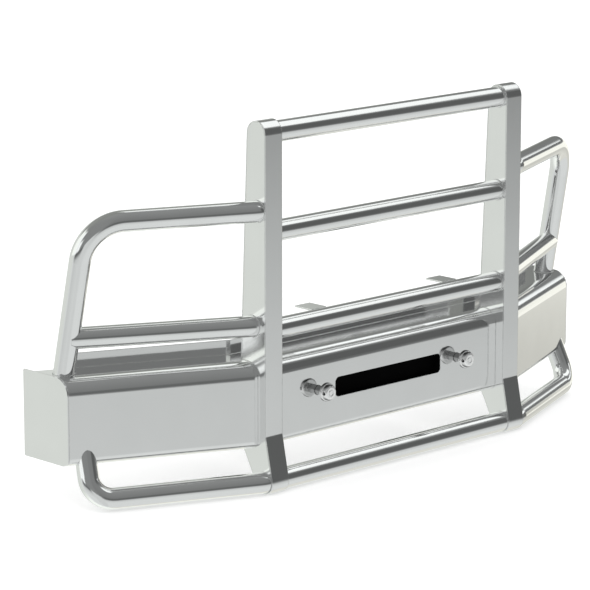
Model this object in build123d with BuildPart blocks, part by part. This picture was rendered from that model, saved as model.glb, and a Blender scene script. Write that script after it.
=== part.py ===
"""Front grille guard for a heavy truck: bumper, two posts, grille tubes, wing hoops and chassis mounts.

Row axes: X to the viewer's right when facing the guard, Y back toward the truck, Z up.
Depths below are measured from the plane of the post fronts and heights from a datum under the posts.
The finished solids are moved so that the origin lies at the centre of the guard's footprint, level with
the foot of the posts.
All sizes in millimetres.
"""
import os
from math import asin, atan2, cos, radians, sin, sqrt, tan

from build123d import *

# -------- general
weld_gap = 0.3
tube_r = 38.1
tube_wall = 4.0

# -------- posts
post_x = 619.0
post_width = 80.0
post_sheet = 4.0
cap_r = 47.0
cap_z = 1311.0
kink_z = 238.5
foot_y = 9.0
foot_z = 72.0
foot_r = 42.6
rear_top_y = 2 * cap_r
rear_low_y = 128.0
rear_low_z = 500.0
skirt_y = 119.0
skirt_z = 186.0
outer_x = post_x + post_width / 2
inner_x = post_x - post_width / 2

# -------- bumper
face_y = 41.0
bend_x = 673.0
end_x = 1300.0
wing_angle = radians(23.5)
sheet = 5.0
low_z = 188.0
top_z = 500.0
top_r = 60.0
low_r = 30.0
top_depth = 169.0
low_depth = 62.0
end_depth = 238.0
end_sheet = 5.0
end_corner_r = 5.0
valance_height = 53.0
valance_sheet = 4.0
valance_inset = 1.0
valance_end_x = 1205.0

# -------- slot and its backing
slot_width = 550.0
slot_height = 73.0
slot_corner_r = 18.0
slot_z = 346.5
tray_margin = 22.0
tray_depth = 34.0
tray_sheet = 3.0

# -------- grille tubes
grille_z = (609.0, 960.0, 1311.0)
grille_y = 47.0

# -------- wing tubes
hoop_z = 1041.0
hoop_y = 42.0
hoop_elbow_x = 668.5
hoop_top = (1232.0, 286.0, hoop_z)
hoop_foot = (1248.0, 398.0, 480.0)
hoop_elbow_r = 40.0
hoop_bend_r = 150.0
rail_z = 629.0
rail_y = 69.0
rail_elbow_x = 670.0
rail_elbow_r = 40.0
rail_end = (1244.0, 366.0, rail_z)

# -------- under tube
under_y = 9.0
under_z = 72.0
under_elbow_x = 662.0
under_corner = (1246.0, 257.0, under_z)
under_end = (1219.0, 325.0, 250.0)
under_elbow_r = 100.0
under_bend_r = 80.0

# -------- rear tabs on the lower grille tube
tab_x = 340.0
tab_width = 73.0
tab_sheet = 6.0
tab_top_z = 647.0
tab_front_y = 60.0
tab_rear_y = 146.0

# -------- tow pins
tow_x = 363.0
tow_z = 352.5
tow_shaft_r = 16.5
tow_fit = 0.05
tow_head_r = 34.0
tow_head_length = 13.0
tow_head_edge = 4.0
tow_cap_r = 29.0
tow_cap_length = 16.0
tow_cap_edge = 10.0
tow_cap_ring_r = 12.0
tow_front_y = -26.5
tow_tail_y = 168.0
tow_cross_r = 6.0
tow_cross_y = -17.5
tow_groove = 1.6
receiver_r = 25.0
receiver_rear_y = 160.0
flange_r = 40.0
flange_sheet = 6.0
face_hole_r = 18.0

# -------- chassis brackets, lugs and pivots
pivot_y = 130.0
pivot_z = 235.0
bracket_x = 438.2
bracket_sheet = 12.7
nose_r = 34.0
bracket_front_y = 170.0
bracket_rear_y = 520.0
bracket_low_z = 215.0
bracket_top_z = 450.0
bracket_rear_top_z = 405.0
stop_y = 204.0
stop_sheet = 12.0
stop_width = 92.0
stop_low_z = 385.0
frame_bolt_r = 8.75
frame_bolt_dy = 150.0
frame_bolt_dz = 110.0
frame_bolt_y = 410.0
frame_bolt_z = 310.0
lug_sheet = 10.0
lug_gap = 3.0
lug_top_z = 450.0
lug_rear_y = 187.0
lug_nose_r = 34.0
pad_r = 20.0
pad_z = 418.0
pad_dx = 26.0
pin_r = 15.0
pin_fit = 0.05
bush_r = 19.0
bush_fit = 0.02
pin_head_r = 24.0
pin_head_length = 8.0
pin_reach = 48.0
nut_across = 46.0
nut_length = 22.0
washer_r = 28.0
washer_sheet = 4.0

parts = {}


def keep(builder, label):
    """Name a finished sub-part and store it for export."""
    builder.part.label = label
    parts[label] = builder.part


def flipped(source, label):
    """Store the left-hand twin of a right-hand sub-part."""
    with BuildPart() as twin:
        mirror(objects=source.part, about=Plane.YZ)
    keep(twin, label)
    return twin


def unit(a, b):
    """Unit vector from a to b."""
    return (Vector(*b) - Vector(*a)).normalized()


def bent_line(points, radii):
    """Draw a line through the points with a tangent arc at every inner point."""
    start = Vector(*points[0])
    for i, radius in enumerate(radii):
        corner = Vector(*points[i + 1])
        into = unit(points[i], points[i + 1])
        out = unit(points[i + 1], points[i + 2])
        half = radians(into.get_angle(out)) / 2
        setback = radius * tan(half)
        first = corner - into * setback
        last = corner + out * setback
        inward = (out - into).normalized()
        middle = corner + inward * (radius / cos(half) - radius)
        Line(start, first)
        ThreePointArc(first, middle, last)
        start = last
    Line(start, Vector(*points[-1]))


def bumper_outline(grow):
    """Close the filled bumper section, grown outward by a clearance."""
    back = top_depth
    with BuildLine() as outline:
        Line((low_depth, low_z - grow), (low_r, low_z - grow))
        RadiusArc((low_r, low_z - grow), (-grow, low_z + low_r), low_r + grow)
        Line((-grow, low_z + low_r), (-grow, top_z - top_r))
        RadiusArc((-grow, top_z - top_r), (top_r, top_z + grow), top_r + grow)
        Line((top_r, top_z + grow), (back, top_z + grow))
        Polyline((back, top_z + grow), (back, low_z + low_r), (low_depth, low_z - grow))
    make_face(outline.edges())


def bumper_sheet():
    """Draw the bent-sheet section of the bumper."""
    inner_top = top_z - sheet
    inner_low = low_z + sheet
    with BuildLine() as outline:
        Line((low_depth, low_z), (low_r, low_z))
        RadiusArc((low_r, low_z), (0, low_z + low_r), low_r)
        Line((0, low_z + low_r), (0, top_z - top_r))
        RadiusArc((0, top_z - top_r), (top_r, top_z), top_r)
        Line((top_r, top_z), (top_depth, top_z))
        Line((top_depth, top_z), (top_depth, inner_top))
        Line((top_depth, inner_top), (top_r, inner_top))
        RadiusArc((top_r, inner_top), (sheet, top_z - top_r), sheet - top_r)
        Line((sheet, top_z - top_r), (sheet, low_z + low_r))
        RadiusArc((sheet, low_z + low_r), (low_r, inner_low), sheet - low_r)
        Line((low_r, inner_low), (low_depth, inner_low))
        Line((low_depth, inner_low), (low_depth, low_z))
    make_face(outline.edges())


def valance_section():
    """Draw the upright closing strip that stands on the rear of the bumper top."""
    middle = (top_depth - valance_inset - valance_sheet / 2, top_z + weld_gap + valance_height / 2)
    with Locations(middle):
        Rectangle(valance_sheet, valance_height)


# section planes: centre run along X, wing run swept back
wing_dir = (cos(wing_angle), sin(wing_angle), 0)
wing_back = (-sin(wing_angle), cos(wing_angle), 0)
centre_plane = Plane(origin=(0, face_y, 0), x_dir=(0, 1, 0), z_dir=(1, 0, 0))
wing_plane = Plane(origin=(bend_x, face_y, 0), x_dir=wing_back, z_dir=wing_dir)
mitre_dir = (cos(wing_angle / 2), sin(wing_angle / 2), 0)
wing_length = (end_x - bend_x) / cos(wing_angle)
spare = 120.0


def centre_trim():
    """Trim a centre run to both mitre planes."""
    origin = (bend_x - weld_gap / 2, face_y, 0)
    split(bisect_by=Plane(origin=origin, z_dir=mitre_dir), keep=Keep.BOTTOM)
    left_dir = (-mitre_dir[0], mitre_dir[1], 0)
    split(bisect_by=Plane(origin=(-origin[0], face_y, 0), z_dir=left_dir), keep=Keep.BOTTOM)


def wing_trim(outer):
    """Trim a wing run to the mitre plane and to an outer plane across the truck."""
    origin = (bend_x + weld_gap / 2, face_y, 0)
    split(bisect_by=Plane(origin=origin, z_dir=mitre_dir), keep=Keep.TOP)
    split(bisect_by=Plane(origin=(outer, 0, 0), z_dir=(1, 0, 0)), keep=Keep.BOTTOM)


# -------- filled envelope used to cut saddles and notches
with BuildPart() as envelope:
    with BuildSketch(centre_plane):
        bumper_outline(weld_gap)
    extrude(amount=bend_x + spare, both=True)
    split(bisect_by=Plane(origin=(bend_x, face_y, 0), z_dir=mitre_dir), keep=Keep.BOTTOM)
    mitre_left = Plane(origin=(-bend_x, face_y, 0), z_dir=(-mitre_dir[0], mitre_dir[1], 0))
    split(bisect_by=mitre_left, keep=Keep.BOTTOM)
with BuildPart() as envelope_wing:
    with BuildSketch(wing_plane):
        bumper_outline(weld_gap)
    extrude(amount=wing_length + spare)
    with BuildSketch(wing_plane):
        bumper_outline(weld_gap)
    extrude(amount=-spare)
    split(bisect_by=Plane(origin=(bend_x, face_y, 0), z_dir=mitre_dir), keep=Keep.TOP)

# -------- bumper centre panel
with BuildPart() as bumper_centre:
    with BuildSketch(centre_plane):
        bumper_sheet()
    extrude(amount=bend_x + spare, both=True)
    centre_trim()
    with BuildSketch(Plane.XZ.offset(-face_y - 2 * sheet)):
        with Locations((0, slot_z)):
            RectangleRounded(slot_width, slot_height, slot_corner_r)
        with Locations((tow_x, tow_z), (-tow_x, tow_z)):
            Circle(face_hole_r)
    extrude(amount=4 * sheet, mode=Mode.SUBTRACT)
keep(bumper_centre, "bumper_centre")

# -------- bumper wings
with BuildPart() as bumper_wing_right:
    with BuildSketch(wing_plane):
        bumper_sheet()
    extrude(amount=wing_length + spare)
    with BuildSketch(wing_plane):
        bumper_sheet()
    extrude(amount=-spare)
    wing_trim(end_x - end_sheet - weld_gap)
keep(bumper_wing_right, "bumper_wing_right")
flipped(bumper_wing_right, "bumper_wing_left")

# -------- end plates
end_face_y = face_y + (end_x - bend_x) * tan(wing_angle)
end_rear_y = end_face_y + end_depth
section_stretch = 1 / cos(wing_angle)
with BuildPart() as end_plate_right:
    with BuildSketch(Plane.YZ.offset(end_x - end_sheet)):
        with BuildLine():
            roll_y = end_face_y + top_r * section_stretch
            low_y = end_face_y + low_r * section_stretch
            Line((end_face_y, low_z + low_r), (end_face_y, top_z - top_r))
            EllipticalCenterArc(
                (roll_y, top_z - top_r), roll_y - end_face_y, top_r, start_angle=90, arc_size=90
            )
            Line((roll_y, top_z), (end_rear_y, top_z))
            Line((end_rear_y, top_z), (end_rear_y, low_z))
            Line((end_rear_y, low_z), (low_y, low_z))
            EllipticalCenterArc(
                (low_y, low_z + low_r), low_y - end_face_y, low_r, start_angle=180, arc_size=90
            )
        make_face()
    extrude(amount=end_sheet)
    rear_edges = end_plate_right.edges().filter_by(Axis.X).group_by(Axis.Y)[-1]
    fillet(rear_edges, end_corner_r)
keep(end_plate_right, "end_plate_right")
flipped(end_plate_right, "end_plate_left")

# -------- valance strips on the bumper top
with BuildPart() as valance_centre:
    with BuildSketch(centre_plane):
        valance_section()
    extrude(amount=bend_x + spare, both=True)
    centre_trim()
keep(valance_centre, "valance_centre")
with BuildPart() as valance_right:
    with BuildSketch(wing_plane):
        valance_section()
    extrude(amount=wing_length + spare)
    with BuildSketch(wing_plane):
        valance_section()
    extrude(amount=-spare)
    wing_trim(valance_end_x)
keep(valance_right, "valance_right")
flipped(valance_right, "valance_left")

# -------- under tube
under_path = [
    (-under_end[0], under_end[1], under_end[2]),
    (-under_corner[0], under_corner[1], under_corner[2]),
    (-under_elbow_x, under_y, under_z),
    (under_elbow_x, under_y, under_z),
    under_corner,
    under_end,
]
under_radii = [under_bend_r, under_elbow_r, under_elbow_r, under_bend_r]


def tube_along(points, radii, radius, wall):
    """Sweep a round tube, or a bar when the wall is zero, along the bent line."""
    with BuildLine() as centre:
        bent_line(points, radii)
    with BuildSketch(Plane(origin=centre.line @ 0, z_dir=centre.line % 0)) as ring:
        Circle(radius)
        if wall > 0:
            Circle(radius - wall, mode=Mode.SUBTRACT)
    sweep(sections=ring.sketch, path=centre.line)


with BuildPart() as under_envelope:
    tube_along(under_path, under_radii, tube_r + weld_gap, 0)
with BuildPart() as under_tube:
    tube_along(under_path, under_radii, tube_r, tube_wall)
    add(envelope_wing.part, mode=Mode.SUBTRACT)
    mirror(objects=envelope_wing.part, about=Plane.YZ, mode=Mode.SUBTRACT)
keep(under_tube, "under_tube")

# -------- posts
kick_dy = foot_y
kick_dz = foot_z - kink_z
kick_span = sqrt(kick_dy**2 + kick_dz**2)
kick_lean = asin(foot_r / kick_span) - atan2(kick_dy, -kick_dz)
kick_length = sqrt(kick_span**2 - foot_r**2)
kick_end = (-kick_length * sin(kick_lean), kink_z - kick_length * cos(kick_lean))
rear_dy = foot_y - skirt_y
rear_dz = foot_z - skirt_z
rear_span = sqrt(rear_dy**2 + rear_dz**2)
foot_lean = atan2(rear_dy, rear_dz) - asin(foot_r / rear_span)
foot_length = sqrt(rear_span**2 - foot_r**2)
foot_end = (skirt_y + foot_length * sin(foot_lean), skirt_z + foot_length * cos(foot_lean))
kink_shift = post_sheet * tan(kick_lean / 2)
inner_kick_end = (kick_end[0] + post_sheet * cos(kick_lean), kick_end[1] - post_sheet * sin(kick_lean))
foot_bottom = (foot_y, foot_z - foot_r)
foot_bottom_inner = (foot_y, foot_z - foot_r + post_sheet)
foot_inner_r = foot_r - post_sheet


def point_on_foot(radius):
    """Point where the strip ends behind the under tube."""
    angle = atan2(foot_end[1] - foot_z, foot_end[0] - foot_y)
    return (foot_y + radius * cos(angle), foot_z + radius * sin(angle))


def strip_section():
    """Draw the side view of the post strip: over the top, down the front, kick, under the tube."""
    cap_rear = (2 * cap_r, cap_z)
    cap_rear_inner = (2 * cap_r - post_sheet, cap_z)
    tail = point_on_foot(foot_r)
    tail_inner = point_on_foot(foot_inner_r)
    with BuildLine() as outline:
        ThreePointArc(cap_rear, (cap_r, cap_z + cap_r), (0, cap_z))
        Line((0, cap_z), (0, kink_z))
        Line((0, kink_z), kick_end)
        ThreePointArc(kick_end, foot_bottom, tail)
        Line(tail, tail_inner)
        ThreePointArc(tail_inner, foot_bottom_inner, inner_kick_end)
        Line(inner_kick_end, (post_sheet, kink_z - kink_shift))
        Line((post_sheet, kink_z - kink_shift), (post_sheet, cap_z))
        ThreePointArc((post_sheet, cap_z), (cap_r, cap_z + cap_r - post_sheet), cap_rear_inner)
        Line(cap_rear_inner, cap_rear)
    make_face(outline.edges())


def side_section():
    """Draw the side plate that fits inside the strip."""
    skin = post_sheet + weld_gap
    shift = skin * tan(kick_lean / 2)
    kick = (kick_end[0] + skin * cos(kick_lean), kick_end[1] - skin * sin(kick_lean))
    with BuildLine() as outline:
        ThreePointArc((2 * cap_r - skin, cap_z), (cap_r, cap_z + cap_r - skin), (skin, cap_z))
        Line((skin, cap_z), (skin, kink_z - shift))
        Line((skin, kink_z - shift), kick)
        Line(kick, (foot_y, foot_z))
        Line((foot_y, foot_z), foot_end)
        Line(foot_end, (skirt_y, skirt_z))
        Line((skirt_y, skirt_z), (rear_low_y - skin, rear_low_z))
        Line((rear_low_y - skin, rear_low_z), (rear_top_y - skin, cap_z))
    make_face(outline.edges())


def back_section():
    """Draw the side view of the strip that closes the back of the post above the bumper."""
    head = cap_z - weld_gap
    foot = rear_low_z + weld_gap
    with BuildLine() as outline:
        Line((rear_top_y, head), (rear_low_y, foot))
        Line((rear_low_y, foot), (rear_low_y - post_sheet, foot))
        Line((rear_low_y - post_sheet, foot), (rear_top_y - post_sheet, head))
        Line((rear_top_y - post_sheet, head), (rear_top_y, head))
    make_face(outline.edges())


with BuildPart() as post_strip_right:
    with BuildSketch(Plane.YZ.offset(inner_x)):
        strip_section()
    extrude(amount=post_width)
    add(under_envelope.part, mode=Mode.SUBTRACT)
keep(post_strip_right, "post_right_front_strip")
flipped(post_strip_right, "post_left_front_strip")
with BuildPart() as post_back_right:
    with BuildSketch(Plane.YZ.offset(inner_x)):
        back_section()
    extrude(amount=post_width)
keep(post_back_right, "post_right_back_strip")
flipped(post_back_right, "post_left_back_strip")


def side_plate(start_x):
    """Extrude one side plate and notch it over the bumper and the under tube."""
    with BuildSketch(Plane.YZ.offset(start_x)) as outline:
        side_section()
    extrude(outline.sketch, amount=post_sheet)
    add(envelope.part, mode=Mode.SUBTRACT)
    add(envelope_wing.part, mode=Mode.SUBTRACT)
    add(under_envelope.part, mode=Mode.SUBTRACT)


with BuildPart() as post_right_outer:
    side_plate(outer_x - post_sheet)
keep(post_right_outer, "post_right_outer_plate")
flipped(post_right_outer, "post_left_outer_plate")
with BuildPart() as post_right_inner:
    side_plate(inner_x)
keep(post_right_inner, "post_right_inner_plate")
flipped(post_right_inner, "post_left_inner_plate")

# -------- grille tubes between the posts
grille_names = ("grille_tube_lower", "grille_tube_middle", "grille_tube_top")
for height, label in zip(grille_z, grille_names):
    with BuildPart() as grille_tube:
        with BuildSketch(Plane.YZ.offset(-inner_x + weld_gap)):
            with Locations((grille_y, height)):
                Circle(tube_r)
                Circle(tube_r - tube_wall, mode=Mode.SUBTRACT)
        extrude(amount=2 * (inner_x - weld_gap))
    keep(grille_tube, label)

# -------- wing hoops and rails
hoop_start = (outer_x + weld_gap, hoop_y, hoop_z)
hoop_path = [hoop_start, (hoop_elbow_x, hoop_y, hoop_z), hoop_top, hoop_foot]
hoop_radii = [hoop_elbow_r, hoop_bend_r]
with BuildPart() as hoop_envelope:
    tube_along(hoop_path, hoop_radii, tube_r + weld_gap, 0)
with BuildPart() as wing_hoop_right:
    tube_along(hoop_path, hoop_radii, tube_r, tube_wall)
    add(envelope_wing.part, mode=Mode.SUBTRACT)
keep(wing_hoop_right, "wing_hoop_right")
flipped(wing_hoop_right, "wing_hoop_left")
rail_start = (outer_x + weld_gap, rail_y, rail_z)
rail_path = [rail_start, (rail_elbow_x, rail_y, rail_z), rail_end]
with BuildPart() as wing_rail_right:
    tube_along(rail_path, [rail_elbow_r], tube_r, tube_wall)
    add(hoop_envelope.part, mode=Mode.SUBTRACT)
keep(wing_rail_right, "wing_rail_right")
flipped(wing_rail_right, "wing_rail_left")

# -------- rear tabs on the lower grille tube
with BuildPart() as rear_tab_right:
    with BuildSketch(Plane.XY.offset(tab_top_z - tab_sheet)):
        with Locations((tab_x, (tab_front_y + tab_rear_y) / 2)):
            Rectangle(tab_width, tab_rear_y - tab_front_y)
    extrude(amount=tab_sheet)
    with BuildSketch(Plane.YZ.offset(tab_x - tab_width)):
        with Locations((grille_y, grille_z[0])):
            Circle(tube_r + weld_gap)
    extrude(amount=2 * tab_width, mode=Mode.SUBTRACT)
keep(rear_tab_right, "rear_tab_right")
flipped(rear_tab_right, "rear_tab_left")

# -------- black tray behind the slot
tray_face_y = face_y + sheet + weld_gap
with BuildPart() as slot_tray:
    with BuildSketch(Plane.XZ.offset(-tray_face_y)):
        with Locations((0, slot_z)):
            RectangleRounded(
                slot_width + 2 * tray_margin, slot_height + 2 * tray_margin, slot_corner_r + tray_margin
            )
    extrude(amount=-tray_sheet)
    with BuildSketch(Plane.XZ.offset(-tray_face_y)):
        with Locations((0, slot_z)):
            RectangleRounded(
                slot_width + 2 * tray_sheet, slot_height + 2 * tray_sheet, slot_corner_r + tray_sheet
            )
    extrude(amount=-tray_depth)
    with BuildSketch(Plane.XZ.offset(-tray_face_y)):
        with Locations((0, slot_z)):
            RectangleRounded(slot_width, slot_height, slot_corner_r)
    extrude(amount=-tray_depth + tray_sheet, mode=Mode.SUBTRACT)
keep(slot_tray, "slot_tray")

# -------- tow pins and their receivers
with BuildPart() as tow_receiver_right:
    with BuildSketch(Plane.XZ.offset(-tray_face_y)):
        with Locations((tow_x, tow_z)):
            Circle(flange_r)
    extrude(amount=-flange_sheet)
    with BuildSketch(Plane.XZ.offset(-tray_face_y)):
        with Locations((tow_x, tow_z)):
            Circle(receiver_r)
    extrude(amount=tray_face_y - receiver_rear_y)
    with BuildSketch(Plane.XZ.offset(-tray_face_y)):
        with Locations((tow_x, tow_z)):
            Circle(tow_shaft_r + tow_fit)
    extrude(amount=tray_face_y - receiver_rear_y, mode=Mode.SUBTRACT)
keep(tow_receiver_right, "tow_receiver_right")
flipped(tow_receiver_right, "tow_receiver_left")

cap_rear_y = tow_front_y + tow_cap_length
head_rear_y = cap_rear_y + tow_head_length
with BuildPart() as tow_pin_right:
    with BuildSketch(Plane.XZ.offset(-cap_rear_y)):
        with Locations((tow_x, tow_z)):
            Circle(tow_head_r)
    extrude(amount=-tow_head_length)
    fillet(tow_pin_right.edges().filter_by(GeomType.CIRCLE), tow_head_edge)
    with BuildSketch(Plane.XZ.offset(-tow_front_y)):
        with Locations((tow_x, tow_z)):
            Circle(tow_cap_r)
    extrude(amount=-tow_cap_length)
    front_edge = tow_pin_right.edges().filter_by(GeomType.CIRCLE).sort_by(Axis.Y)[0]
    fillet(front_edge, tow_cap_edge)
    with BuildSketch(Plane.XZ.offset(-tow_front_y)):
        with Locations((tow_x, tow_z)):
            Circle(tow_cap_ring_r)
            Circle(tow_cap_ring_r - 2 * tow_groove, mode=Mode.SUBTRACT)
    extrude(amount=-tow_groove, mode=Mode.SUBTRACT)
    with BuildSketch(Plane.XZ.offset(-head_rear_y)):
        with Locations((tow_x, tow_z)):
            Circle(tow_shaft_r)
    extrude(amount=head_rear_y - tow_tail_y)
    tail_edge = tow_pin_right.edges().filter_by(GeomType.CIRCLE).sort_by(Axis.Y)[-1]
    chamfer(tail_edge, tow_groove * 2)
    with BuildSketch(Plane.YZ.offset(tow_x - 2 * tow_head_r)):
        with Locations((tow_cross_y, tow_z)):
            Circle(tow_cross_r)
    extrude(amount=4 * tow_head_r, mode=Mode.SUBTRACT)
keep(tow_pin_right, "tow_pin_right")
flipped(tow_pin_right, "tow_pin_left")

# -------- chassis brackets (fixed to the truck frame)
plate_in = bracket_x - bracket_sheet / 2
plate_out = bracket_x + bracket_sheet / 2
with BuildPart() as bracket_right:
    with BuildSketch(Plane.YZ.offset(plate_in)):
        with BuildLine():
            Line((pivot_y, pivot_z - nose_r), (bracket_front_y, bracket_low_z))
            Line((bracket_front_y, bracket_low_z), (bracket_rear_y, bracket_low_z))
            Line((bracket_rear_y, bracket_low_z), (bracket_rear_y, bracket_rear_top_z))
            Line((bracket_rear_y, bracket_rear_top_z), (stop_y + 2 * stop_sheet, bracket_top_z))
            Line((stop_y + 2 * stop_sheet, bracket_top_z), (stop_y, bracket_top_z))
            Line((stop_y, bracket_top_z), (bracket_front_y, pivot_z + nose_r))
            Line((bracket_front_y, pivot_z + nose_r), (pivot_y, pivot_z + nose_r))
            ThreePointArc(
                (pivot_y, pivot_z + nose_r), (pivot_y - nose_r, pivot_z), (pivot_y, pivot_z - nose_r)
            )
        make_face()
        with Locations((pivot_y, pivot_z)):
            Circle(pin_r + pin_fit, mode=Mode.SUBTRACT)
        with Locations((frame_bolt_y, frame_bolt_z)):
            with GridLocations(frame_bolt_dy, frame_bolt_dz, 2, 2):
                Circle(frame_bolt_r, mode=Mode.SUBTRACT)
    extrude(amount=bracket_sheet)
    with BuildSketch(Plane.XZ.offset(-stop_y)):
        with Locations((bracket_x, (stop_low_z + bracket_top_z) / 2)):
            Rectangle(stop_width, bracket_top_z - stop_low_z)
    extrude(amount=-stop_sheet)
keep(bracket_right, "chassis_bracket_right")
flipped(bracket_right, "chassis_bracket_left")

# -------- rubber stops
with BuildPart() as stop_right:
    with BuildSketch(Plane.XZ.offset(-lug_rear_y - weld_gap)):
        with Locations((bracket_x - pad_dx, pad_z), (bracket_x + pad_dx, pad_z)):
            Circle(pad_r - tow_groove)
    extrude(amount=lug_rear_y + 2 * weld_gap - stop_y)
keep(stop_right, "rubber_stops_right")
flipped(stop_right, "rubber_stops_left")

# -------- hinge lugs behind the bumper face
lug_front_y = face_y + sheet + weld_gap


def lug(start_x):
    """Extrude one hinge lug with its bush bore."""
    with BuildSketch(Plane.YZ.offset(start_x)) as plate:
        with BuildLine() as outline:
            Line((lug_front_y, pivot_z - nose_r / 2), (lug_front_y, lug_top_z - nose_r))
            Line((lug_front_y, lug_top_z - nose_r), (lug_front_y + nose_r, lug_top_z))
            Line((lug_front_y + nose_r, lug_top_z), (lug_rear_y, lug_top_z))
            Line((lug_rear_y, lug_top_z), (lug_rear_y, stop_low_z))
            Line((lug_rear_y, stop_low_z), (pivot_y + lug_nose_r, pivot_z))
            ThreePointArc(
                (pivot_y + lug_nose_r, pivot_z), (pivot_y, pivot_z - lug_nose_r), (pivot_y - lug_nose_r, pivot_z)
            )
            Line((pivot_y - lug_nose_r, pivot_z), (lug_front_y, pivot_z - nose_r / 2))
        make_face(outline.edges())
        with Locations((pivot_y, pivot_z)):
            Circle(bush_r + bush_fit, mode=Mode.SUBTRACT)
    extrude(plate.sketch, amount=lug_sheet)


with BuildPart() as lug_right_outer:
    lug(plate_out + lug_gap)
keep(lug_right_outer, "hinge_lug_right_outer")
flipped(lug_right_outer, "hinge_lug_left_outer")
with BuildPart() as lug_right_inner:
    lug(plate_in - lug_gap - lug_sheet)
keep(lug_right_inner, "hinge_lug_right_inner")
flipped(lug_right_inner, "hinge_lug_left_inner")

# -------- pivot bushes, pins, washers and nuts
with BuildPart() as bushes_right:
    for start_x in (plate_in - lug_gap - lug_sheet, plate_out + lug_gap):
        with BuildSketch(Plane.YZ.offset(start_x)):
            with Locations((pivot_y, pivot_z)):
                Circle(bush_r)
                Circle(pin_r + pin_fit, mode=Mode.SUBTRACT)
        extrude(amount=lug_sheet)
keep(bushes_right, "pivot_bushes_right")
flipped(bushes_right, "pivot_bushes_left")

washer_out = plate_out + lug_gap + lug_sheet + weld_gap
with BuildPart() as pivot_pin_right:
    head_x = plate_in - lug_gap - lug_sheet - weld_gap - pin_head_length
    with BuildSketch(Plane.YZ.offset(head_x)):
        with Locations((pivot_y, pivot_z)):
            Circle(pin_head_r)
    extrude(amount=pin_head_length)
    with BuildSketch(Plane.YZ.offset(head_x)):
        with Locations((pivot_y, pivot_z)):
            Circle(pin_r)
    extrude(amount=bracket_x + pin_reach - head_x)
    end_edge = pivot_pin_right.edges().filter_by(GeomType.CIRCLE).sort_by(Axis.X)[-1]
    chamfer(end_edge, tow_groove)
keep(pivot_pin_right, "pivot_pin_right")
flipped(pivot_pin_right, "pivot_pin_left")

with BuildPart() as pivot_washers:
    for start_x in (washer_out, -washer_out - washer_sheet):
        with BuildSketch(Plane.YZ.offset(start_x)):
            with Locations((pivot_y, pivot_z)):
                Circle(washer_r)
                Circle(pin_r + pin_fit, mode=Mode.SUBTRACT)
        extrude(amount=washer_sheet)
keep(pivot_washers, "pivot_washers")

nut_in = washer_out + washer_sheet + weld_gap
with BuildPart() as pivot_nuts:
    for start_x in (nut_in, -nut_in - nut_length):
        with BuildSketch(Plane.YZ.offset(start_x)):
            with Locations((pivot_y, pivot_z)):
                RegularPolygon(nut_across / 2, 6, major_radius=False)
                Circle(pin_r + pin_fit, mode=Mode.SUBTRACT)
        extrude(amount=nut_length)
keep(pivot_nuts, "pivot_nuts")

# -------- export
os.makedirs("parts", exist_ok=True)
row_shift_y = (end_rear_y + foot_y - foot_r) / 2
row_shift_z = foot_z - foot_r
for label, solid in parts.items():
    solid.locate(Location((0, -row_shift_y, -row_shift_z)))
    export_step(solid, f"parts/{label}.step")
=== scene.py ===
"""Looks for the truck front grille guard: polished aluminium, plated hardware, soft studio surround."""

import math

import bmesh
import bpy
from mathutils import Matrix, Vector


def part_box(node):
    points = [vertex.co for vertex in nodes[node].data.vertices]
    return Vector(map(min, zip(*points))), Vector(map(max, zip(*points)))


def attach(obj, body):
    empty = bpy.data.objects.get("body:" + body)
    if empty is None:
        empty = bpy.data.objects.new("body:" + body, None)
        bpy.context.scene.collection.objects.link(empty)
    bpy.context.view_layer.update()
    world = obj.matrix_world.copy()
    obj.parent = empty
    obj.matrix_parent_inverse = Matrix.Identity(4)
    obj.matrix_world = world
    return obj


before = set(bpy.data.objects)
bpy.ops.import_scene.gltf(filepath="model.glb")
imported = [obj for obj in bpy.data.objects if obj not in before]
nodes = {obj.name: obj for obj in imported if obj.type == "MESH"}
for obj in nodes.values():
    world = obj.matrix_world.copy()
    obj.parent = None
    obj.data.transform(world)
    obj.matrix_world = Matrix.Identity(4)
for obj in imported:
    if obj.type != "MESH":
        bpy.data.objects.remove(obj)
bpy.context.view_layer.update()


# ---------------------------------------------------------------- node graph helpers
def put(tree, kind, inputs=None, **settings):
    """Add one node, set its properties, and feed its inputs with sockets or plain values."""
    made = tree.nodes.new(kind)
    for key, value in settings.items():
        setattr(made, key, value)
    for key, value in (inputs or {}).items():
        if isinstance(value, bpy.types.NodeSocket):
            tree.links.new(value, made.inputs[key])
        else:
            made.inputs[key].default_value = value
    return made


def calc(tree, operation, first, second=0.0, third=0.0):
    """Scalar arithmetic node; gives its output socket."""
    return put(tree, "ShaderNodeMath", {0: first, 1: second, 2: third}, operation=operation).outputs[0]


def step_up(tree, value, low, high):
    """Smooth 0 to 1 as value goes from low to high."""
    inputs = {"Value": value, "From Min": low, "From Max": high}
    return put(tree, "ShaderNodeMapRange", inputs, interpolation_type="SMOOTHSTEP").outputs[0]


def blend_colour(tree, share, first, second, mode="MIX"):
    """Mix two colours; gives the colour socket."""
    made = put(tree, "ShaderNodeMix", data_type="RGBA", blend_type=mode)
    for index, value in ((0, share), (6, first), (7, second)):
        if isinstance(value, bpy.types.NodeSocket):
            tree.links.new(value, made.inputs[index])
        else:
            made.inputs[index].default_value = value
    return made.outputs[2]


def ramp(tree, value, stops):
    """Colour ramp from (place, grey level) stops; gives its colour socket."""
    made = put(tree, "ShaderNodeValToRGB", {"Fac": value})
    elements = made.color_ramp.elements
    while len(elements) < len(stops):
        elements.new(0.5)
    for element, (place, level) in zip(elements, stops):
        element.position = place
        element.color = grey(level)
    return made.outputs["Color"]


def grey(level, green=1.0, blue=1.0):
    """Linear colour from a display level of 0 to 255, with optional green and blue factors."""
    share = level / 255
    linear = ((share + 0.055) / 1.055) ** 2.4
    return (linear, linear * green, linear * blue, 1.0)


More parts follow.
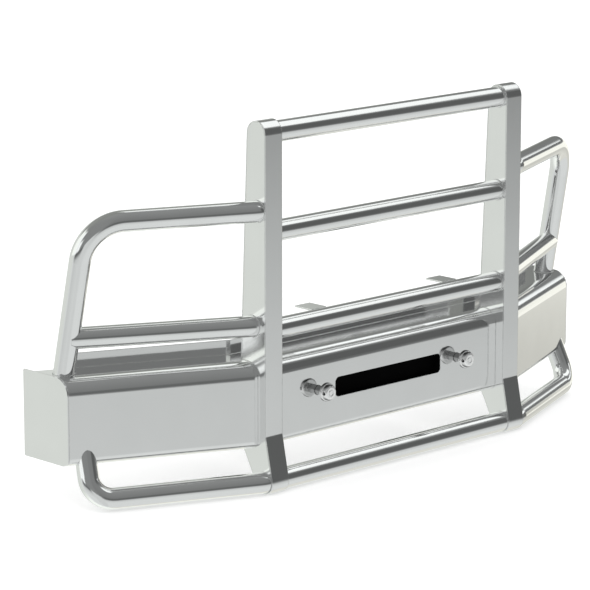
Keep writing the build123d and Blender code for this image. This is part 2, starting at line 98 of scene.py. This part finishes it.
# ---------------------------------------------------------------- studio surround
def between(tree, value, low, high, soft):
    """1 while value lies between low and high, fading over soft on both sides."""
    rising = step_up(tree, value, low - soft, low + soft)
    falling = step_up(tree, value, high + soft, high - soft)
    return calc(tree, "MULTIPLY", rising, falling)


def panel(tree, first, first_range, second, second_range, soft):
    """Soft-edged rectangle in two direction measures."""
    across = between(tree, first, *first_range, soft)
    return calc(tree, "MULTIPLY", across, between(tree, second, *second_range, soft))


def build_world():
    """Plain white to the camera; to the metal, a pale floor, grey walls, soft boxes and ceiling strips."""
    world = bpy.data.worlds.new("studio")
    bpy.context.scene.world = world
    world.use_nodes = True
    tree = world.node_tree
    tree.nodes.clear()
    direction = put(tree, "ShaderNodeTexCoord").outputs["Generated"]
    split = put(tree, "ShaderNodeSeparateXYZ", {0: direction})
    x, y, z = split.outputs[0], split.outputs[1], split.outputs[2]
    degrees = math.degrees(1.0)
    azimuth = calc(tree, "MULTIPLY", calc(tree, "ARCTAN2", x, calc(tree, "MULTIPLY", y, -1.0)), degrees)
    turn = calc(tree, "ABSOLUTE", azimuth)
    elevation = calc(tree, "MULTIPLY", calc(tree, "ARCSINE", z), degrees)
    height = calc(tree, "MAXIMUM", z, 0.02)
    along_x = calc(tree, "DIVIDE", x, height)
    along_y = calc(tree, "DIVIDE", y, height)

    # walls and ceiling: (measure, range, measure, range, softness, display level)
    upward = calc(tree, "DIVIDE", elevation, 90.0)
    surround = ramp(tree, upward, [(0.0, 115), (1.0, 140)])
    walls = [
        (azimuth, (-95, -25), elevation, (-5, 60), 6, 130),
        (azimuth, (-20, 30), elevation, (-10, 10), 4, 100),
        (azimuth, (25, 60), elevation, (-10, 30), 4, 90),
        (turn, (130, 190), elevation, (25, 60), 8, 140),
        (turn, (135, 190), elevation, (-20, 25), 5, 210),
        (azimuth, (-155, -105), elevation, (-10, 40), 4, 250),
        (azimuth, (-105, -85), elevation, (0, 20), 4, 250),
        (azimuth, (70, 125), elevation, (-10, 15), 4, 110),
    ]
    for first, first_range, second, second_range, soft, level in walls:
        share = panel(tree, first, first_range, second, second_range, soft)
        surround = blend_colour(tree, share, surround, grey(level))

    near_strip = panel(tree, along_x, (0.45, 1.2), along_y, (-0.78, 0.52), 0.08)
    far_strip = panel(tree, along_x, (2.55, 4.0), along_y, (-1.7, 0.72), 0.12)
    overhead = step_up(tree, z, 0.12, 0.16)
    strips = calc(tree, "MULTIPLY", calc(tree, "MAXIMUM", near_strip, far_strip), overhead)
    surround = blend_colour(tree, strips, surround, grey(253))

    # floor: grey at the horizon and pale below, paler behind the camera and behind the guard
    depth = calc(tree, "DIVIDE", elevation, -90.0)
    floor = ramp(tree, depth, [(0.06, 100), (0.15, 195), (0.35, 215)])
    floor_near = grey(205)
    floor_back = ramp(tree, depth, [(0.35, 215), (0.6, 250)])
    floor = blend_colour(tree, between(tree, azimuth, -57, -27, 5), floor, floor_near)
    floor = blend_colour(tree, step_up(tree, turn, 102, 122), floor, floor_back)
    above = step_up(tree, elevation, -1.0, 1.0)
    surround = blend_colour(tree, above, floor, surround)

    # low soft box behind the right wing
    low_box = panel(tree, azimuth, (90, 125), elevation, (-12.0, 5.0), 2.0)
    surround = blend_colour(tree, low_box, surround, grey(250))

    # cool on the left and in front, warm low on the right, faintly green behind
    warm_share = calc(tree, "MULTIPLY", step_up(tree, azimuth, 70, 86), step_up(tree, elevation, 8, 2))
    tint = blend_colour(tree, warm_share, (0.97, 1.0, 0.99, 1.0), (1.0, 1.0, 0.92, 1.0))
    tint = blend_colour(tree, step_up(tree, turn, 115, 130), tint, (0.96, 1.0, 0.95, 1.0))
    surround = blend_colour(tree, 1.0, surround, tint, "MULTIPLY")
    lift = 1.1
    surround = blend_colour(tree, 1.0, surround, (lift, lift, lift, 1.0), "MULTIPLY")

    ray = put(tree, "ShaderNodeLightPath")
    plain = calc(tree, "MAXIMUM", ray.outputs["Is Camera Ray"], ray.outputs["Is Diffuse Ray"])
    seen = blend_colour(tree, plain, surround, (1.0, 1.0, 1.0, 1.0))
    background = put(tree, "ShaderNodeBackground", {"Color": seen, "Strength": 1.0})
    output = put(tree, "ShaderNodeOutputWorld")
    tree.links.new(background.outputs[0], output.inputs["Surface"])


# ---------------------------------------------------------------- materials
def fresh_material(name):
    """New node material with a principled surface; gives (material, tree, surface node)."""
    material = bpy.data.materials.new(name)
    material.use_nodes = True
    tree = material.node_tree
    tree.nodes.clear()
    surface = put(tree, "ShaderNodeBsdfPrincipled")
    output = put(tree, "ShaderNodeOutputMaterial")
    tree.links.new(surface.outputs[0], output.inputs["Surface"])
    return material, tree, surface


def noise(tree, place, scale, detail=3.0, stretch=(1, 1, 1)):
    """Noise in object space, stretched per axis; gives the value socket."""
    mapping = put(tree, "ShaderNodeMapping", {"Vector": place, "Scale": stretch})
    made = put(tree, "ShaderNodeTexNoise", {"Vector": mapping.outputs[0], "Scale": scale, "Detail": detail})
    return made.outputs["Fac"]


def polished(name, level, roughness, haze, grain_stretch, grain_depth, edge):
    """Mirror-polished aluminium: faint polishing lines, hazy smears, a slight ripple and rounded edges."""
    material, tree, surface = fresh_material(name)
    place = put(tree, "ShaderNodeTexCoord").outputs["Object"]
    smears = noise(tree, place, 7.0, 4.0)
    grain = noise(tree, place, 40.0, 2.0, grain_stretch)
    ripple = noise(tree, place, 2.2, 1.0)
    tone = blend_colour(tree, smears, grey(level - 5), grey(level + 3))
    rough = calc(tree, "MULTIPLY_ADD", smears, haze, roughness)
    rough = calc(tree, "MULTIPLY_ADD", grain, haze * 0.5, rough)
    height = calc(tree, "MULTIPLY_ADD", ripple, 1.0, calc(tree, "MULTIPLY", grain, grain_depth))
    edges = put(tree, "ShaderNodeBevel", {"Radius": edge}, samples=4)
    bump = put(tree, "ShaderNodeBump", {"Strength": 0.25, "Distance": 0.0006, "Height": height,
                                        "Normal": edges.outputs[0]})
    tree.links.new(tone, surface.inputs["Base Color"])
    tree.links.new(rough, surface.inputs["Roughness"])
    tree.links.new(bump.outputs[0], surface.inputs["Normal"])
    surface.inputs["Metallic"].default_value = 1.0
    return material


def coated(name, colour, roughness, speckle, metallic=0.0, bump_scale=900.0, depth=0.0002):
    """Even coat or machined skin with fine speckle in colour, sheen and height."""
    material, tree, surface = fresh_material(name)
    place = put(tree, "ShaderNodeTexCoord").outputs["Object"]
    fine = noise(tree, place, bump_scale, 2.0)
    broad = noise(tree, place, 14.0, 4.0)
    light = tuple(min(1.0, c * (1 + speckle)) for c in colour) + (1.0,)
    dark = tuple(c * (1 - speckle) for c in colour) + (1.0,)
    tone = blend_colour(tree, broad, dark, light)
    rough = calc(tree, "MULTIPLY_ADD", broad, 0.12, roughness - 0.06)
    bump = put(tree, "ShaderNodeBump", {"Strength": 0.5, "Distance": depth, "Height": fine})
    tree.links.new(tone, surface.inputs["Base Color"])
    tree.links.new(rough, surface.inputs["Roughness"])
    tree.links.new(bump.outputs[0], surface.inputs["Normal"])
    surface.inputs["Metallic"].default_value = metallic
    return material


def turned_chrome(name, head_rear):
    """Bright chrome knob with lathe rings and painted shade, a dark band where the surface turns up or down;
    satin steel shaft behind head_rear.
    """
    material, tree, surface = fresh_material(name)
    coordinates = put(tree, "ShaderNodeTexCoord")
    place = coordinates.outputs["Object"]
    split = put(tree, "ShaderNodeSeparateXYZ", {0: place})
    normal = put(tree, "ShaderNodeSeparateXYZ", {0: coordinates.outputs["Normal"]})
    rings = put(tree, "ShaderNodeTexWave", {"Vector": place, "Scale": 160.0, "Distortion": 0.4},
                bands_direction="Y").outputs["Fac"]
    smears = noise(tree, place, 60.0, 3.0)
    # painted shade: faces turned up or down go dark grey, a dark outline standing in for reflected shade
    painted_edge_shade = step_up(tree, calc(tree, "ABSOLUTE", normal.outputs[2]), 0.3, 0.85)
    shaft = step_up(tree, split.outputs[1], head_rear + 0.0002, head_rear + 0.0006)
    tone = blend_colour(tree, smears, grey(240), grey(250))
    tone = blend_colour(tree, painted_edge_shade, tone, grey(60))
    tone = blend_colour(tree, shaft, tone, grey(178))
    rough = calc(tree, "MULTIPLY_ADD", shaft, 0.12, 0.07)
    rough = calc(tree, "MULTIPLY_ADD", smears, 0.05, rough)
    edges = put(tree, "ShaderNodeBevel", {"Radius": 0.0015}, samples=4)
    bump = put(tree, "ShaderNodeBump", {"Strength": 0.2, "Distance": 0.0001, "Height": rings,
                                        "Normal": edges.outputs[0]})
    tree.links.new(tone, surface.inputs["Base Color"])
    tree.links.new(rough, surface.inputs["Roughness"])
    tree.links.new(bump.outputs[0], surface.inputs["Normal"])
    metal_share = calc(tree, "MULTIPLY_ADD", shaft, 0.2, 0.78)
    tree.links.new(metal_share, surface.inputs["Metallic"])
    return material


sheet_metal = polished("polished_sheet", 244, 0.045, 0.05, (0.2, 1, 9), 0.15, 0.003)
tube_metal = polished("polished_tube", 244, 0.06, 0.05, (3, 1, 1), 0.2, 0.0015)
post_metal = polished("polished_post", 244, 0.06, 0.06, (9, 1, 0.2), 0.15, 0.0045)
weld_metal = polished("weld_bead", 232, 0.2, 0.12, (2, 2, 2), 1.5, 0.0005)
black_coat = coated("black_powder_coat", (0.012, 0.012, 0.013), 0.45, 0.35)
# slot tray: partly its own matt black, partly painted shade, with near-zero colour and shine so the slot
# reads as deep shade
black_tray_and_slot_shade = coated("matt_black_tray_and_slot_shade", (0.0015, 0.0015, 0.0016), 0.8, 0.3)
for node in black_tray_and_slot_shade.node_tree.nodes:
    if node.type == "BSDF_PRINCIPLED":
        node.inputs["Specular IOR Level"].default_value = 0.03
rubber = coated("moulded_rubber", (0.02, 0.02, 0.02), 0.75, 0.4, 0.0, 500.0, 0.0004)
head_length = 0.029
chrome = turned_chrome("bright_chrome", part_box("tow_pin_left")[0].y + head_length)
steel = coated("brushed_steel_plate", (0.42, 0.43, 0.44), 0.38, 0.12, 1.0, 700.0)
zinc = coated("zinc_plate", (0.60, 0.61, 0.60), 0.30, 0.12, 1.0, 700.0)
bronze = coated("bearing_bronze", (0.55, 0.36, 0.16), 0.36, 0.15, 1.0, 700.0)

# each entry: start of the node names, and the material they take
finishes = [
    ("bumper", sheet_metal), ("end_plate", sheet_metal), ("valance", sheet_metal), ("rear_tab", sheet_metal),
    ("post", post_metal), ("grille_tube", tube_metal), ("wing_hoop", tube_metal), ("wing_rail", tube_metal),
    ("under_tube", tube_metal), ("slot_tray", black_tray_and_slot_shade), ("tow_pin", chrome), ("tow_receiver", steel),
    ("hinge_lug", steel), ("chassis_bracket", black_coat), ("rubber_stops", rubber), ("pivot_pin", zinc),
    ("pivot_washers", zinc), ("pivot_nuts", zinc), ("pivot_bushes", bronze),
]
for name, piece in nodes.items():
    for start, material in finishes:
        if name.startswith(start):
            piece.data.materials.clear()
            piece.data.materials.append(material)


# ---------------------------------------------------------------- weld beads where tubes meet plates
def weld_bead(name, centre, axis, plate_normal, tube_radius):
    """Rippled fillet ring where a tube along axis meets a flat plate at centre; rides on the guard."""
    axis, plate_normal, centre = Vector(axis).normalized(), Vector(plate_normal), Vector(centre)
    side = axis.orthogonal().normalized()
    other = axis.cross(side)
    count, facets, thickness, ripples = 240, 8, 0.0024, 58
    work = bmesh.new()
    rows = []
    for i in range(count):
        angle = 2 * math.pi * i / count
        out = side * math.cos(angle) + other * math.sin(angle)
        slide = -(out * tube_radius).dot(plate_normal) / axis.dot(plate_normal)
        heart = centre + out * tube_radius + axis * slide
        swell = thickness * (1.0 + 0.14 * math.sin(ripples * angle))
        row = []
        for j in range(facets):
            turn = 2 * math.pi * j / facets
            row.append(work.verts.new(heart + out * swell * math.cos(turn) + axis * swell * math.sin(turn)))
        rows.append(row)
    for i in range(count):
        for j in range(facets):
            after, along = (i + 1) % count, (j + 1) % facets
            face = work.faces.new((rows[i][j], rows[i][along], rows[after][along], rows[after][j]))
            face.smooth = True
    bmesh.ops.recalc_face_normals(work, faces=work.faces)
    mesh = bpy.data.meshes.new(name)
    work.to_mesh(mesh)
    work.free()
    mesh.materials.append(weld_metal)
    ring = bpy.data.objects.new(name, mesh)
    bpy.context.scene.collection.objects.link(ring)
    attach(ring, "guard")


tube_radius = 0.0381
hoop_z = 1.0116
hoop_foot_x, hoop_foot_y = 1.24743, 0.1350
leg_lean_in, leg_lean_forward, leg_rise = 16, 112, 561
bumper_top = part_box("bumper_centre")[1].z
for level in ("lower", "middle", "top"):
    low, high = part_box("grille_tube_" + level)
    for side_name, end in (("left", low.x), ("right", high.x)):
        centre = (end, (low.y + high.y) / 2, (low.z + high.z) / 2)
        weld_bead("weld_grille_%s_%s" % (level, side_name), centre, (1, 0, 0), (1, 0, 0), tube_radius)
for side_name, sign in (("left", -1), ("right", 1)):
    low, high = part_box("post_%s_outer_plate" % side_name)
    plate = high.x if sign > 0 else low.x
    rail_low, rail_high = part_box("wing_rail_" + side_name)
    hoop_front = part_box("wing_hoop_" + side_name)[0].y
    hoop_end = (plate, hoop_front + tube_radius, hoop_z)
    rail_end = (plate, rail_low.y + tube_radius, (rail_low.z + rail_high.z) / 2)
    weld_bead("weld_hoop_" + side_name, hoop_end, (1, 0, 0), (1, 0, 0), tube_radius)
    weld_bead("weld_rail_" + side_name, rail_end, (1, 0, 0), (1, 0, 0), tube_radius)
    foot = (sign * hoop_foot_x, hoop_foot_y, bumper_top)
    leg = (-sign * leg_lean_in, -leg_lean_forward, leg_rise)
    weld_bead("weld_hoop_foot_" + side_name, foot, leg, (0, 0, 1), tube_radius)


# ---------------------------------------------------------------- floor, light and camera
def build_floor():
    """Large pale floor with a soft shadow; the metal doesn't mirror it, as the surround has its own."""
    half = 40.0
    mesh = bpy.data.meshes.new("floor")
    corners = [(-half, -half, 0), (half, -half, 0), (half, half, 0), (-half, half, 0)]
    mesh.from_pydata(corners, [], [(0, 1, 2, 3)])
    floor = bpy.data.objects.new("floor", mesh)
    bpy.context.scene.collection.objects.link(floor)
    floor.location.z = -0.001
    floor.visible_glossy = False
    material, tree, surface = fresh_material("pale_floor")
    place = put(tree, "ShaderNodeTexCoord").outputs["Object"]
    mottle = noise(tree, place, 3.0, 4.0)
    tone = blend_colour(tree, mottle, (0.86, 0.86, 0.86, 1), (0.90, 0.90, 0.90, 1))
    tree.links.new(tone, surface.inputs["Base Color"])
    surface.inputs["Roughness"].default_value = 0.8
    surface.inputs["Emission Color"].default_value = (1, 1, 1, 1)
    surface.inputs["Emission Strength"].default_value = 0.35
    mesh.materials.append(material)


def build_light(name, place, aim, size, power):
    """Soft square area light aimed at a point; metal does not mirror it."""
    data = bpy.data.lights.new(name, "AREA")
    data.size = size
    data.energy = power
    lamp = bpy.data.objects.new(name, data)
    bpy.context.scene.collection.objects.link(lamp)
    lamp.location = place
    lamp.rotation_euler = (Vector(aim) - Vector(place)).to_track_quat("-Z", "Y").to_euler()
    lamp.visible_glossy = False


def build_camera():
    """Long lens at the front left, a little above the guard."""
    data = bpy.data.cameras.new("camera")
    data.sensor_width = 36.0
    data.lens = 189.3
    data.clip_end = 200.0
    data.shift_x = -0.00085
    data.shift_y = -0.0006
    camera = bpy.data.objects.new("camera", data)
    bpy.context.scene.collection.objects.link(camera)
    camera.location = (-7.92065, -7.90389, 3.01424)
    look = Vector((0.67992, 0.70185, -0.21238))
    camera.rotation_euler = look.to_track_quat("-Z", "Y").to_euler()
    bpy.context.scene.camera = camera


build_world()
build_floor()
build_light("key", (-3.0, -4.0, 5.0), (0, 0, 0.5), 3.0, 60.0)
build_camera()
bpy.context.scene.view_settings.view_transform = "Standard"
